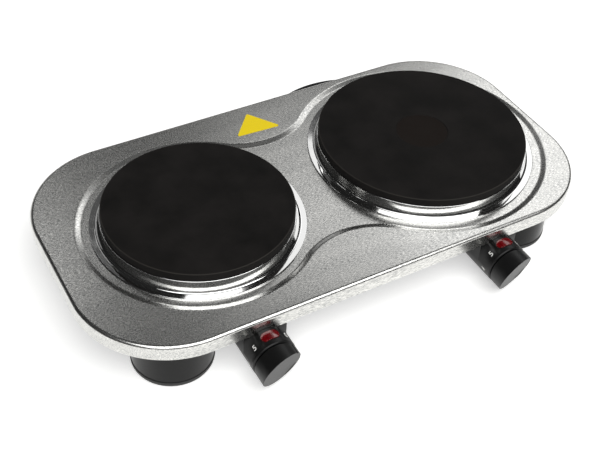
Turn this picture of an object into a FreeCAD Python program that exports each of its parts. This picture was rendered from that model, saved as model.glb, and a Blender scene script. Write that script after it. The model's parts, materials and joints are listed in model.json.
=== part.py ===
"""Twin-plate electric hot plate burner, every physical piece as its own STEP file.

Frame: millimetres, +Z up. The origin lies on the table under the middle of the whole
object's outline. +X runs along the tray, towards the larger plate, and the knobs face -Y.
"""
import FreeCAD, Part
import math
import os

V = FreeCAD.Vector
UP = V(0, 0, 1)
BACKWARD = V(0, 1, 0)
RIGHTWARD = V(1, 0, 0)

# ---------------------------------------------------------------- driving dimensions
# Heating plates
left_plate_diameter = 158.0
right_plate_diameter = 185.0
plate_edge_height = 6.6          # depth of the casting's outer rim
plate_slab = 3.0                 # iron above the heating grooves
plate_rim_wall = 6.0
plate_top_round = 0.9
groove_wall = 4.0                # iron between the two heating grooves
cold_centre_radius = 23.5        # unheated middle of each plate
cold_centre_wall = 4.0
right_centre_dish = 0.5          # shallow dish in the middle of the larger plate
plate_rise = 16.3                # plate top above the deck
boss_radius = 9.0
boss_drop = 1.5

# Spill rings round the plates
left_ring_reach = 10.0
right_ring_reach = 9.0
left_ring_lean = 4.0             # how far the ring's wall foot stands out from the plate
right_ring_lean = 3.0
ring_sheet = 0.6
ring_plate_gap = 0.5             # between the plate's side and the ring's wall
ring_seat = 4.5                  # lip that reaches in under the plate
gasket_height = 0.6
gasket_inset = 1.0

# Tray
deck_height = 51.5               # deck above the table
skirt_depth = 13.5
cover_sheet = 0.8
fold_radius = 3.0
corner_radius = 80.0
recess_depth = 1.5               # figure-of-eight recess that holds the rings
recess_slope = 4.4               # width of the slanted step into the recess
recess_round = 5.0               # softening of the step's two bends
left_recess_margin = 6.3
right_recess_margin = 7.5
waist_radius = 70.0
left_end_margin = 24.8
right_end_margin = 6.1
between_recesses = 5.9
side_margin = 7.35
plate_hole_inset = 5.5

# Base plate and its fixings
base_sheet = 1.0
base_lift = 0.6                  # base plate above the skirt's lower edge
base_clearance = 0.4
base_rim_height = 5.0
pillar_radius = 4.5
pillar_end_inset = 17.5
pillar_side_inset = 56.5
middle_pillar_inset = 16.5
middle_pillar_x = 5.0
cover_screw_radius = 2.0
screw_hole_clearance = 0.3
pan_head_height = 1.8
pan_head_reach = 2.0

# Feet
foot_top_radius = 31.5
foot_bottom_radius = 32.6
foot_wall = 3.0
foot_roof = 4.0
foot_side_inset = 40.5
foot_corner_gap = 1.0            # least room between a drum and the skirt at a tray corner
pad_height = 5.0
pad_radius = 33.0
pad_bore_radius = 25.0
pad_chamfer = 2.5
pad_spigot = 2.0                 # how far the pad plugs into the drum
foot_screw_radius = 2.5
foot_screw_length = 14.0
foot_nut_height = 4.0
foot_nut_radius = 4.6
left_foot_clearance = 12.7       # from each foot to the control housing beside it
right_foot_clearance = 2.8

# Control housings and dials
left_dial_offset = -2.0          # dial axis beside the plate's centre
right_dial_offset = 0.0
housing_diameter = 36.8
housing_wall = 2.2
housing_front_wall = 2.5
housing_reach = 16.5             # barrel in front of the skirt
housing_depth = 20.0             # body under the tray, behind the skirt
housing_axis_height = 22.4
housing_lip_chamfer = 1.0
housing_gap = 0.4                # plastic housings' clearance to the skirt
skirt_gap = 0.25
knob_inset = 0.2                 # knob's radius under the barrel's
knob_gap = 1.4
knob_longest = 16.6
knob_slant_degrees = 20.0        # slope of the knob's cut end
knob_long_side_degrees = 45.0    # the long side lies this far left of the top
knob_wall = 2.6
knob_end_wall = 2.5
knob_hub_radius = 5.5
knob_round = 0.7
pointer_degrees = 45.0           # pointer groove, this far right of the top
pointer_width = 1.6
pointer_depth = 0.7
shaft_radius = 3.0
shaft_clearance = 0.05
shaft_flat = 2.2                 # D flat above the axis
shaft_in_knob = 6.5
shaft_tail = 9.0                 # shaft behind the housing's front wall
clip_thickness = 0.7
clip_width = 2.0

# Pilot lamps
lens_length = 15.0
lens_width = 8.0
lens_stand = 0.8
lens_inner_flange = 0.8
lens_setback = 9.2               # lens centre behind the barrel's front edge
lamp_radius = 2.5
lamp_length = 13.0
lamp_end_round = 1.5
lamp_drop = 3.4

# Thermostats
bracket_sheet = 1.5
bracket_half_width = 9.0
bracket_drop = 12.0
bracket_rise = 7.0
arm_half_width = 5.0
stack_radius = 4.0
stack_from_back = 9.0
rivet_radius = 1.2
rivet_head = 1.2
blade_sheet = 0.5
blade_half_width = 3.2
blade_pitch = 4.0
blade_count = 3
blade_tip_gap = 1.0
blade_tail_gap = 1.3
inner_screw_radius = 1.25
housing_boss_radius = 3.0
housing_boss_height = 12.0
boss_hole_floor = 1.0
housing_boss_bite = 1.0          # how far a screw boss runs into the walls beside it

# Heating elements and clamps
coil_radius = 1.3
coil_height = 2.0                # coil's middle above the casting's lower edge
coil_play = 0.05
fill_recess = 0.2
backing_sheet = 0.8
backing_play = 1.0
stud_radius = 3.0
stud_below_nut = 1.2
stud_in_boss = 5.0
bridge_sheet = 2.0
bridge_width = 18.0
bridge_overlap = 7.0
nut_radius = 5.6
nut_height = 4.0
pin_radius = 1.3
pin_spread = 4.0
pin_bottom_above_base = 1.9
pin_hole_clearance = 0.6
block_width = 16.0
block_height = 8.0
block_end = 5.0

# Rear terminal housing
rear_box_foot_gap = 5.7          # between its right side and the foot beside it
rear_box_width = 84.0
rear_box_front_inset = 34.0      # its front wall, in from the tray's rear edge
rear_box_reach = 18.8            # its middle, out from the tray's rear edge
rear_box_bow_radius = 90.0
rear_box_bottom = 12.0
rear_box_wall = 2.2
gland_height = 24.0
gland_bore_radius = 3.75
gland_radius = 7.0
gland_flange_radius = 9.5
gland_flange = 1.6
gland_inner_length = 6.0
mains_block_length = 32.0
mains_block_width = 14.0
mains_block_height = 14.0
mains_block_setback = 23.0       # its middle, in from the tray's rear edge

# Wiring
wire_radius = 1.3
wire_bend = 6.0
wire_level = 3.2                 # wires' middle above the base plate
wire_hole_clearance = 1.0
wire_spread = 1.9                # from the dial's middle plane to each of its two wires
wire_wall_gap = 1.0              # between the dial's wires and the housing's back wall
wire_lane_gap = 12.0             # from each clamp nut to the wire that passes it
pin_end_run = 18.0               # last straight run of a wire, up to its heater pin
rear_waist_share = 0.25          # where the long wires cross the waist, in tray widths
front_waist_share = 0.3

# Plain triangle on the deck
marker_base = 43.0                # its front side
marker_height = 27.5
marker_sheet = 0.15
marker_corner = 1.5
marker_x = -8.7
marker_inset = 31.3              # its middle, in from the tray's rear edge
marker_turn_degrees = -3.0

# Cutters
overshoot = 1.0                  # how far a cutter runs past the face that it leaves through

# ---------------------------------------------------------------- worked out from those
left_plate_radius = left_plate_diameter / 2
right_plate_radius = right_plate_diameter / 2
left_ring_radius = left_plate_radius + left_ring_reach
right_ring_radius = right_plate_radius + right_ring_reach
left_recess_radius = left_ring_radius + left_recess_margin
right_recess_radius = right_ring_radius + right_recess_margin
left_step_radius = left_recess_radius + recess_slope
right_step_radius = right_recess_radius + recess_slope
largest_step_radius = max(left_step_radius, right_step_radius)

tray_length = (left_end_margin + 2 * left_step_radius + between_recesses
               + 2 * right_step_radius + right_end_margin)
tray_width = 2 * (largest_step_radius + side_margin)
left_plate_x = -tray_length / 2 + left_end_margin + left_step_radius
right_plate_x = tray_length / 2 - right_end_margin - right_step_radius

front_reach = tray_width / 2 + housing_reach + knob_gap + knob_longest
rear_reach = tray_width / 2 + rear_box_reach + gland_flange
tray_y = (front_reach - rear_reach) / 2
front_y = tray_y - tray_width / 2
rear_y = tray_y + tray_width / 2

plate_top = deck_height + plate_rise
plate_bottom = plate_top - plate_edge_height
groove_top = plate_top - plate_slab
recess_floor = deck_height - recess_depth
recess_underside = recess_floor - cover_sheet
deck_underside = deck_height - cover_sheet
skirt_bottom = deck_height - skirt_depth
base_bottom = skirt_bottom + base_lift
base_top = base_bottom + base_sheet
wire_z = base_top + wire_level

housing_radius = housing_diameter / 2
knob_radius = housing_radius - knob_inset
housing_inner_radius = housing_radius - housing_wall
barrel_front = front_y - housing_reach
barrel_back = front_y - skirt_gap
housing_back = front_y + housing_depth
cavity_front = barrel_front + housing_front_wall
cavity_back = housing_back - housing_wall
knob_back = barrel_front - knob_gap
knob_slope = math.tan(math.radians(knob_slant_degrees))
knob_axis_length = knob_longest - knob_radius * knob_slope
shaft_end = cavity_front + shaft_tail
left_dial_x = left_plate_x + left_dial_offset
right_dial_x = right_plate_x + right_dial_offset

foot_y_offset = tray_width / 2 - foot_side_inset
corner_to_foot = housing_back - (tray_y - foot_y_offset)
left_foot_run = math.sqrt((pad_radius + left_foot_clearance) ** 2 - corner_to_foot ** 2)
right_foot_run = math.sqrt((pad_radius + right_foot_clearance) ** 2 - corner_to_foot ** 2)
corner_reach = corner_radius - cover_sheet - base_clearance - foot_top_radius - foot_corner_gap
corner_run = math.sqrt(corner_reach ** 2 - (corner_radius - foot_side_inset) ** 2)
tray_corner_x = tray_length / 2 - corner_radius
left_foot_x = max(left_dial_x - housing_radius - left_foot_run, -tray_corner_x - corner_run)
right_foot_x = min(right_dial_x + housing_radius + right_foot_run, tray_corner_x + corner_run)
rear_box_x = right_foot_x - pad_radius - rear_box_foot_gap - rear_box_width / 2

PLATES = {
    "left": dict(x=left_plate_x, radius=left_plate_radius, ring=left_ring_radius,
                 lean=left_ring_lean, dish=0.0, dial_x=left_dial_x),
    "right": dict(x=right_plate_x, radius=right_plate_radius, ring=right_ring_radius,
                  lean=right_ring_lean, dish=right_centre_dish, dial_x=right_dial_x),
}
FEET = {
    "front_left": (left_foot_x, tray_y - foot_y_offset),
    "front_right": (right_foot_x, tray_y - foot_y_offset),
    "rear_left": (left_foot_x, tray_y + foot_y_offset),
    "rear_right": (right_foot_x, tray_y + foot_y_offset),
}
PILLARS = [(sign_x * (tray_length / 2 - pillar_end_inset),
            tray_y + sign_y * (tray_width / 2 - pillar_side_inset))
           for sign_x in (-1, 1) for sign_y in (-1, 1)]
PILLARS += [(middle_pillar_x, tray_y + sign_y * (tray_width / 2 - middle_pillar_inset))
            for sign_y in (-1, 1)]


# ---------------------------------------------------------------- shape helpers
def post(radius, x, y, low, high):
    """Upright round bar."""
    return Part.makeCylinder(radius, high - low, V(x, y, low), UP)


def rod(radius, x, z, front, back):
    """Round bar along Y."""
    return Part.makeCylinder(radius, back - front, V(x, front, z), BACKWARD)


def block(x_low, x_high, y_low, y_high, z_low, z_high):
    corner = V(x_low, y_low, z_low)
    return Part.makeBox(x_high - x_low, y_high - y_low, z_high - z_low, corner)


def polygon_face(points):
    return Part.Face(Part.makePolygon(points + points[:1]))


def turned(outline, x, y):
    """Solid of revolution about an upright axis, from (radius, height) points."""
    face = polygon_face([V(radius, 0, height) for radius, height in outline])
    solid = face.revolve(V(0, 0, 0), UP, 360)
    solid.translate(V(x, y, 0))
    return solid


def hexagon(radius, x, y, low, high):
    corners = [V(x + radius * math.cos(math.radians(60 * side)),
                 y + radius * math.sin(math.radians(60 * side)), low) for side in range(6)]
    return polygon_face(corners).extrude(V(0, 0, high - low))


def rounded_slab(length, width, corner, low, high):
    """Upright-sided slab with round corners, centred on the tray."""
    slab = block(-length / 2, length / 2, tray_y - width / 2, tray_y + width / 2, low, high)
    upright = [edge for edge in slab.Edges
               if abs(edge.Vertexes[0].Z - edge.Vertexes[-1].Z) > (high - low) / 2]
    return slab.makeFillet(corner, upright)


def edges_at(shape, height):
    """Edges that lie flat at one height."""
    return [edge for edge in shape.Edges
            if abs(edge.BoundBox.ZMin - height) < 1e-6 and abs(edge.BoundBox.ZMax - height) < 1e-6]


def pan_screw(radius, x, y, head_under, tip, head_side):
    """Screw whose head lies below the sheet (head_side -1) or above it (+1)."""
    head_far = head_under + head_side * pan_head_height
    low, high = sorted((head_under, head_far))
    head = post(radius + pan_head_reach, x, y, low, high)
    low, high = sorted((head_under, tip))
    return head.fuse(post(radius, x, y, low, high))


def wire(points):
    """Insulated wire along straight runs joined by tangent arcs."""
    edges = []
    start = points[0]
    for before, corner, after in zip(points, points[1:], points[2:]):
        back = (before - corner).normalize()
        ahead = (after - corner).normalize()
        half_turn = (math.pi - back.getAngle(ahead)) / 2
        setback = wire_bend * math.tan(half_turn)
        middle_out = wire_bend / math.cos(half_turn) - wire_bend
        inward = (back + ahead).normalize()
        arc_start = corner + back * setback
        arc_end = corner + ahead * setback
        edges.append(Part.LineSegment(start, arc_start).toShape())
        edges.append(Part.Arc(arc_start, corner + inward * middle_out, arc_end).toShape())
        start = arc_end
    edges.append(Part.LineSegment(start, points[-1]).toShape())
    path = Part.Wire(edges)
    first_run = points[1] - points[0]
    section = Part.Wire([Part.makeCircle(wire_radius, points[0], first_run)])
    return path.makePipeShell([section], True, False)


def save(name, *solids):
    shape = solids[0] if len(solids) == 1 else Part.makeCompound(list(solids))
    shape.exportStep(os.path.join("parts", name + ".step"))


# ---------------------------------------------------------------- tray
def figure_eight(grow, height):
    """Closed outline of the two recess circles joined by round waists."""
    left_radius = left_recess_radius + grow
    right_radius = right_recess_radius + grow
    waist = waist_radius - grow
    span = right_plate_x - left_plate_x
    along = ((left_radius + waist) ** 2 - (right_radius + waist) ** 2 + span ** 2) / (2 * span)
    aside = math.sqrt((left_radius + waist) ** 2 - along ** 2)
    left = V(left_plate_x, tray_y, height)
    right = V(right_plate_x, tray_y, height)
    rear_waist = left + V(along, aside, 0)
    front_waist = left + V(along, -aside, 0)

    def touch(centre, radius, waist_centre):
        return centre + (waist_centre - centre).normalize() * radius

    left_rear = touch(left, left_radius, rear_waist)
    left_front = touch(left, left_radius, front_waist)
    right_rear = touch(right, right_radius, rear_waist)
    right_front = touch(right, right_radius, front_waist)
    arcs = [
        Part.Arc(left_rear, left - V(left_radius, 0, 0), left_front),
        Part.Arc(left_front, front_waist + V(0, waist, 0), right_front),
        Part.Arc(right_front, right + V(right_radius, 0, 0), right_rear),
        Part.Arc(right_rear, rear_waist - V(0, waist, 0), left_rear),
    ]
    return Part.Wire([arc.toShape() for arc in arcs])


def recess_block(drop):
    """What the recess takes out of the deck, or of the cavity when lowered by drop."""
    foot = figure_eight(0.0, recess_floor - drop)
    brink = figure_eight(recess_slope, deck_height - drop)
    return Part.makeLoft([foot, brink], True, True)


def top_cover():
    outer = rounded_slab(tray_length, tray_width, corner_radius, skirt_bottom, deck_height)
    outer = outer.makeFillet(fold_radius, edges_at(outer, deck_height))
    outer = outer.cut(recess_block(0.0))
    outline_radius = corner_radius - fold_radius
    bends = [edge for edge in edges_at(outer, deck_height) + edges_at(outer, recess_floor)
             if isinstance(edge.Curve, Part.Circle)
             and abs(edge.Curve.Radius - outline_radius) > 1e-3]
    outer = outer.makeFillet(recess_round, bends)
    inner = rounded_slab(tray_length - 2 * cover_sheet, tray_width - 2 * cover_sheet,
                         corner_radius - cover_sheet, skirt_bottom, deck_underside)
    inner = inner.makeFillet(fold_radius - cover_sheet, edges_at(inner, deck_underside))
    cover = outer.cut(inner.cut(recess_block(cover_sheet)))
    for plate in PLATES.values():
        hole = plate["radius"] - plate_hole_inset
        cover = cover.cut(post(hole, plate["x"], tray_y, recess_underside - overshoot,
                              deck_height + overshoot))
    return cover


def deck_marker():
    front = -marker_height / 3
    corners = [V(-marker_base / 2, front, 0), V(marker_base / 2, front, 0),
               V(0, front + marker_height, 0)]
    plate = polygon_face(corners).extrude(V(0, 0, marker_sheet))
    plate.rotate(V(0, 0, 0), UP, marker_turn_degrees)
    plate.translate(V(marker_x, rear_y - marker_inset, deck_height))
    upright = [edge for edge in plate.Edges if edge.BoundBox.ZLength > marker_sheet / 2]
    return plate.makeFillet(marker_corner, upright)


# ---------------------------------------------------------------- base plate
def wire_ways():
    """Holes in the base plate that the wires come up through."""
    ways = []
    hole = wire_radius + wire_hole_clearance
    for plate in PLATES.values():
        for side in (-1, 1):
            ways.append((hole, plate["dial_x"] + side * wire_spread, wire_entry_y()))
    for slot in range(4):
        ways.append((hole, mains_wire_x(slot), mains_wire_y()))
    return ways


def wire_entry_y():
    return cavity_back - wire_radius - wire_hole_clearance - wire_wall_gap


def mains_wire_y():
    return rear_y - mains_block_setback


def mains_wire_x(slot):
    return rear_box_x + (slot - 1.5) * mains_block_length / 4


def base_plate():
    outline_play = 2 * (cover_sheet + base_clearance)
    length = tray_length - outline_play
    width = tray_width - outline_play
    corner = corner_radius - outline_play / 2
    pan = rounded_slab(length, width, corner, base_bottom, base_top + base_rim_height)
    well = rounded_slab(length - 2 * base_sheet, width - 2 * base_sheet, corner - base_sheet,
                        base_top, base_top + base_rim_height)
    pan = pan.cut(well)
    holes = [(cover_screw_radius + screw_hole_clearance, x, y) for x, y in PILLARS]
    holes += [(foot_screw_radius + screw_hole_clearance, x, y) for x, y in FEET.values()]
    holes += [(inner_screw_radius + screw_hole_clearance, x, y) for x, y in housing_screw_places()]
    holes += wire_ways()
    for radius, x, y in holes:
        pan = pan.cut(post(radius, x, y, base_bottom - overshoot, base_top + overshoot))
    return pan


def cover_pillars():
    return [post(pillar_radius, x, y, base_top, deck_underside).cut(
        post(cover_screw_radius, x, y, base_top, deck_underside - cover_screw_radius))
        for x, y in PILLARS]


def base_screws():
    tip = deck_underside - 2 * cover_screw_radius
    return [pan_screw(cover_screw_radius, x, y, base_bottom, tip, -1) for x, y in PILLARS]


# ---------------------------------------------------------------- feet
def foot(x, y):
    roof = base_bottom - foot_roof
    bore = foot_bottom_radius - foot_wall
    outline = [(0, base_bottom), (foot_top_radius, base_bottom), (foot_bottom_radius, pad_height),
               (bore, pad_height), (foot_top_radius - foot_wall, roof), (0, roof)]
    hole = post(foot_screw_radius + screw_hole_clearance, x, y,
                roof - overshoot, base_bottom + overshoot)
    return turned(outline, x, y).cut(hole)


def foot_pad(x, y):
    spigot = foot_bottom_radius - foot_wall - screw_hole_clearance
    outline = [(pad_bore_radius, 0), (pad_radius - pad_chamfer, 0), (pad_radius, pad_chamfer),
               (pad_radius, pad_height),
               (spigot, pad_height), (spigot, pad_height + pad_spigot),
               (pad_bore_radius, pad_height + pad_spigot)]
    return turned(outline, x, y)


def foot_screws():
    roof = base_bottom - foot_roof
    return [pan_screw(foot_screw_radius, x, y, roof, roof + foot_screw_length, -1)
            for x, y in FEET.values()]


def foot_nuts():
    return [hexagon(foot_nut_radius, x, y, base_top, base_top + foot_nut_height).cut(
        post(foot_screw_radius, x, y, base_top, base_top + foot_nut_height))
        for x, y in FEET.values()]


# ---------------------------------------------------------------- heating plates
def groove_edges(plate):
    """Radii of the two heating grooves' walls, from the inside out."""
    inner = cold_centre_radius
    outer = plate["radius"] - plate_rim_wall
    middle = (inner + outer - groove_wall) / 2
    return inner, middle, middle + groove_wall, outer


def coil_circles(plate):
    inner, middle, beyond, outer = groove_edges(plate)
    return (inner + middle) / 2, (beyond + outer) / 2


def pin_places(plate):
    """Where the four heater pins stand: two on each coil, behind the plate's centre."""
    places = []
    for circle in coil_circles(plate):
        for side in (-1, 1):
            back = math.sqrt(circle ** 2 - pin_spread ** 2)
            places.append((plate["x"] + side * pin_spread, tray_y + back))
    return places


def hotplate_casting(plate):
    inner, middle, beyond, outer = groove_edges(plate)
    boss_bottom = plate_bottom - boss_drop
    hole_top = boss_bottom + stud_in_boss
    core = cold_centre_radius - cold_centre_wall
    top = plate_top - plate["dish"]
    outline = [(stud_radius, boss_bottom), (boss_radius, boss_bottom), (boss_radius, groove_top),
               (core, groove_top), (core, plate_bottom), (inner, plate_bottom),
               (inner, groove_top), (middle, groove_top), (middle, plate_bottom),
               (beyond, plate_bottom), (beyond, groove_top), (outer, groove_top),
               (outer, plate_bottom), (plate["radius"], plate_bottom), (plate["radius"], plate_top)]
    if plate["dish"] > 0:
        outline += [(cold_centre_radius, plate_top), (cold_centre_radius - plate["dish"], top)]
    outline += [(0, top), (0, hole_top), (stud_radius, hole_top)]
    casting = turned(outline, plate["x"], tray_y)
    rim = [edge for edge in edges_at(casting, plate_top)
           if abs(edge.Curve.Radius - plate["radius"]) < 1e-6]
    return casting.makeFillet(plate_top_round, rim)


def spill_ring(plate):
    wall_foot = plate["radius"] + plate["lean"]
    wall_head = plate["radius"] + ring_plate_gap
    seat = plate["radius"] - ring_seat
    flange_low = recess_floor + gasket_height
    flange_high = flange_low + ring_sheet
    outline = [(plate["ring"] - ring_sheet, recess_floor), (plate["ring"], recess_floor),
               (plate["ring"], flange_high - ring_sheet / 2),
               (plate["ring"] - ring_sheet / 2, flange_high),
               (wall_foot, flange_high), (wall_head + ring_sheet, plate_bottom),
               (seat, plate_bottom), (seat, plate_bottom - ring_sheet),
               (wall_head, plate_bottom - ring_sheet), (wall_foot - ring_sheet, flange_low),
               (plate["ring"] - ring_sheet, flange_low)]
    return turned(outline, plate["x"], tray_y)


def ring_gasket(plate):
    inner = plate["radius"] + plate["lean"]
    outer = plate["ring"] - ring_sheet - gasket_inset
    low = recess_floor
    high = recess_floor + gasket_height
    return turned([(inner, low), (outer, low), (outer, high), (inner, high)], plate["x"], tray_y)


def coil_rings(plate, play):
    middle = V(plate["x"], tray_y, plate_bottom + coil_height)
    return [Part.makeTorus(circle, coil_radius + play, middle, UP)
            for circle in coil_circles(plate)]


def insulation_fill(plate):
    inner, middle, beyond, outer = groove_edges(plate)
    low = plate_bottom + fill_recess
    rings = []
    for near, far, channel in zip((inner, beyond), (middle, outer), coil_rings(plate, coil_play)):
        ring = turned([(near, low), (far, low), (far, groove_top), (near, groove_top)],
                      plate["x"], tray_y)
        for x, y in pin_places(plate):
            channel = channel.fuse(post(pin_radius, x, y, low - overshoot,
                                        plate_bottom + coil_height))
        rings.append(ring.cut(channel))
    return rings


def plate_backing(plate):
    rim = plate["radius"] - ring_seat - backing_play
    low = plate_bottom - backing_sheet
    hub = boss_radius + screw_hole_clearance
    backing = turned([(hub, low), (rim, low), (rim, plate_bottom), (hub, plate_bottom)],
                     plate["x"], tray_y)
    for x, y in pin_places(plate):
        backing = backing.cut(post(pin_radius + pin_hole_clearance, x, y,
                                   low - overshoot, plate_bottom + overshoot))
    return backing


def bridge_bottom():
    return recess_underside - bridge_sheet


def clamp_stud(plate):
    low = bridge_bottom() - nut_height - stud_below_nut
    return post(stud_radius, plate["x"], tray_y, low, plate_bottom - boss_drop + stud_in_boss)


def clamp_bridge(plate):
    reach = plate["radius"] - plate_hole_inset + bridge_overlap
    bar = block(plate["x"] - reach, plate["x"] + reach, tray_y - bridge_width / 2,
                tray_y + bridge_width / 2, bridge_bottom(), recess_underside)
    hole = stud_radius + screw_hole_clearance
    return bar.cut(post(hole, plate["x"], tray_y, bridge_bottom() - overshoot,
                        recess_underside + overshoot))


def clamp_nut(plate):
    low = bridge_bottom() - nut_height
    nut = hexagon(nut_radius, plate["x"], tray_y, low, bridge_bottom())
    return nut.cut(post(stud_radius, plate["x"], tray_y, low, bridge_bottom()))


def terminal_block(plate):
    near, far = coil_circles(plate)
    high = plate_bottom - backing_sheet
    ceramic = block(plate["x"] - block_width / 2, plate["x"] + block_width / 2,
                    tray_y + near - block_end, tray_y + far + block_end, high - block_height, high)
    for x, y in pin_places(plate):
        ceramic = ceramic.cut(post(pin_radius, x, y, high - block_height, high))
    return ceramic


def terminal_pins(plate):
    low = base_top + pin_bottom_above_base
    high = plate_bottom + coil_height
    inner_coil, outer_coil = coil_rings(plate, 0.0)
    pins = []
    for x, y in pin_places(plate):
        pin = post(pin_radius, x, y, low, high).cut(inner_coil).cut(outer_coil)
        pins.append(pin)
    return pins


# ---------------------------------------------------------------- control housings
def lens_plug(dial_x, length, width, low, high):
    """Upright oval plug over the barrel, long side along X."""
    y = barrel_front + lens_setback
    straight = (length - width) / 2
    middle = block(dial_x - straight, dial_x + straight, y - width / 2, y + width / 2, low, high)
    for side in (-1, 1):
        middle = middle.fuse(post(width / 2, dial_x + side * straight, y, low, high))
    return middle


def housing_screw_places():
    """Screws through the base plate: two for each control housing, two for the rear one."""
    stand_off = housing_boss_radius - housing_boss_bite
    aside = housing_inner_radius - stand_off
    places = [(plate["dial_x"] + side * aside, cavity_back - stand_off)
              for plate in PLATES.values() for side in (-1, 1)]
    rear = rear_y - rear_box_front_inset + rear_box_wall + stand_off
    rear_aside = rear_box_width / 2 - rear_box_wall - stand_off
    places += [(rear_box_x + side * rear_aside, rear) for side in (-1, 1)]
    return places


def screw_boss(x, y):
    low = base_bottom - housing_boss_height
    return post(housing_boss_radius, x, y, low, base_bottom)


def screw_boss_hole(x, y):
    low = base_bottom - housing_boss_height + boss_hole_floor
    return post(inner_screw_radius, x, y, low, base_bottom)


def control_housing(plate):
    x = plate["dial_x"]
    axis = housing_axis_height
    crown = axis + 2 * housing_radius
    under_skirt = skirt_bottom - housing_gap
    behind_skirt = front_y + cover_sheet + housing_gap
    shell = rod(housing_radius, x, axis, barrel_front, housing_back)
    front_edge = [edge for edge in shell.Edges if abs(edge.BoundBox.YMax - barrel_front) < 1e-6]
    shell = shell.makeChamfer(housing_lip_chamfer, front_edge)
    shell = shell.fuse(block(x - housing_radius, x + housing_radius, barrel_back, housing_back,
                             axis, base_bottom))
    shell = shell.cut(block(x - housing_radius, x + housing_radius, barrel_back,
                            behind_skirt, under_skirt, crown))
    shell = shell.cut(block(x - housing_radius, x + housing_radius, behind_skirt,
                            housing_back, base_bottom, crown))
    hollow = rod(housing_inner_radius, x, axis, cavity_front, cavity_back)
    hollow = hollow.cut(block(x - housing_radius, x + housing_radius, barrel_back - housing_wall,
                              behind_skirt + housing_wall, under_skirt - housing_wall, crown))
    hollow = hollow.fuse(block(x - housing_inner_radius, x + housing_inner_radius,
                               behind_skirt + housing_wall, cavity_back, axis, base_bottom))
    shell = shell.cut(hollow)
    for boss_x, boss_y in housing_screw_places():
        if abs(boss_x - x) < housing_radius and boss_y < tray_y:
            shell = shell.fuse(screw_boss(boss_x, boss_y))
            shell = shell.cut(screw_boss_hole(boss_x, boss_y))
    shell = shell.cut(rod(shaft_radius + shaft_clearance, x, axis,
                          barrel_front - overshoot, cavity_front + overshoot))
    return shell.cut(lens_plug(x, lens_length, lens_width, axis, axis + 2 * housing_radius))


def pilot_lens(plate):
    x = plate["dial_x"]
    top = housing_axis_height + housing_radius + lens_stand
    plug = lens_plug(x, lens_length, lens_width, housing_axis_height, top)
    cap = rod(housing_radius + lens_stand, x, housing_axis_height, barrel_front, barrel_back)
    hollow = rod(housing_inner_radius, x, housing_axis_height, barrel_front, barrel_back)
    lens = plug.common(cap).cut(hollow)
    grow = 2 * lens_inner_flange
    flange = lens_plug(x, lens_length + grow, lens_width + grow, housing_axis_height, top)
    ceiling = rod(housing_inner_radius, x, housing_axis_height, barrel_front, barrel_back)
    floor = rod(housing_inner_radius - lens_inner_flange, x, housing_axis_height,
                barrel_front, barrel_back)
    return lens.fuse(flange.common(ceiling).cut(floor))


def neon_lamp(plate):
    y = barrel_front + lens_setback
    z = housing_axis_height + housing_inner_radius - lamp_drop - lamp_radius
    start = V(plate["dial_x"] - lamp_length / 2, y, z)
    glass = Part.makeCylinder(lamp_radius, lamp_length, start, RIGHTWARD)
    return glass.makeFillet(lamp_end_round, glass.Edges[:1] + glass.Edges[2:])


# ---------------------------------------------------------------- thermostats
def stack_y():
    return cavity_back - stack_from_back


def arm_top():
    return housing_axis_height - bracket_drop + bracket_sheet


def blade_heights():
    return [arm_top() + blade_pitch * (step + 1) - blade_sheet for step in range(blade_count)]


def thermostat_bracket(plate):
    x = plate["dial_x"]
    axis = housing_axis_height
    face = block(x - bracket_half_width, x + bracket_half_width, cavity_front,
                 cavity_front + bracket_sheet, axis - bracket_drop, axis + bracket_rise)
    arm = block(x - arm_half_width, x + arm_half_width, cavity_front, stack_y() + stack_radius,
                arm_top() - bracket_sheet, arm_top())
    bracket = face.fuse(arm)
    hole = shaft_radius + shaft_clearance
    bracket = bracket.cut(rod(hole, x, axis, cavity_front - overshoot,
                              cavity_front + bracket_sheet + overshoot))
    return bracket.cut(post(rivet_radius, x, stack_y(), arm_top() - bracket_sheet, arm_top()))


def contact_blades(plate):
    x = plate["dial_x"]
    blades = []
    for low in blade_heights():
        blade = block(x - blade_half_width, x + blade_half_width, shaft_end + blade_tip_gap,
                      cavity_back - blade_tail_gap, low, low + blade_sheet)
        blades.append(blade.cut(post(rivet_radius, x, stack_y(), low, low + blade_sheet)))
    return blades


def thermostat_stack(plate):
    """Ceramic washers between the blades, held by one rivet."""
    x = plate["dial_x"]
    y = stack_y()
    floors = [arm_top()] + [low + blade_sheet for low in blade_heights()]
    ceilings = blade_heights() + [floors[-1] + blade_pitch - blade_sheet]
    pieces = []
    for low, high in zip(floors, ceilings):
        pieces.append(post(stack_radius, x, y, low, high).cut(post(rivet_radius, x, y, low, high)))
    rivet = post(rivet_radius, x, y, arm_top() - bracket_sheet, ceilings[-1])
    rivet = rivet.fuse(post(2 * rivet_radius, x, y, ceilings[-1], ceilings[-1] + rivet_head))
    return pieces + [rivet]


# ---------------------------------------------------------------- dials
def slanted_cutter(dial_x, axis_length):
    """Half space in front of the knob's slanted end, as a large turned box."""
    size = 4 * housing_diameter
    cutter = block(-size / 2, size / 2, -size, 0, -size / 2, size / 2)
    cutter.rotate(V(0, 0, 0), RIGHTWARD, knob_slant_degrees)
    cutter.rotate(V(0, 0, 0), BACKWARD, -knob_long_side_degrees)
    cutter.translate(V(dial_x, knob_back - axis_length, housing_axis_height))
    return cutter


def shaft_profile(dial_x, front, back):
    """Round shaft with its D flat, as long as it sits in the knob."""
    bar = rod(shaft_radius, dial_x, housing_axis_height, front, back)
    flat = housing_axis_height + shaft_flat
    return bar.cut(block(dial_x - shaft_radius, dial_x + shaft_radius, front - overshoot,
                         back + overshoot,
                         flat, flat + shaft_radius))


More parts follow.
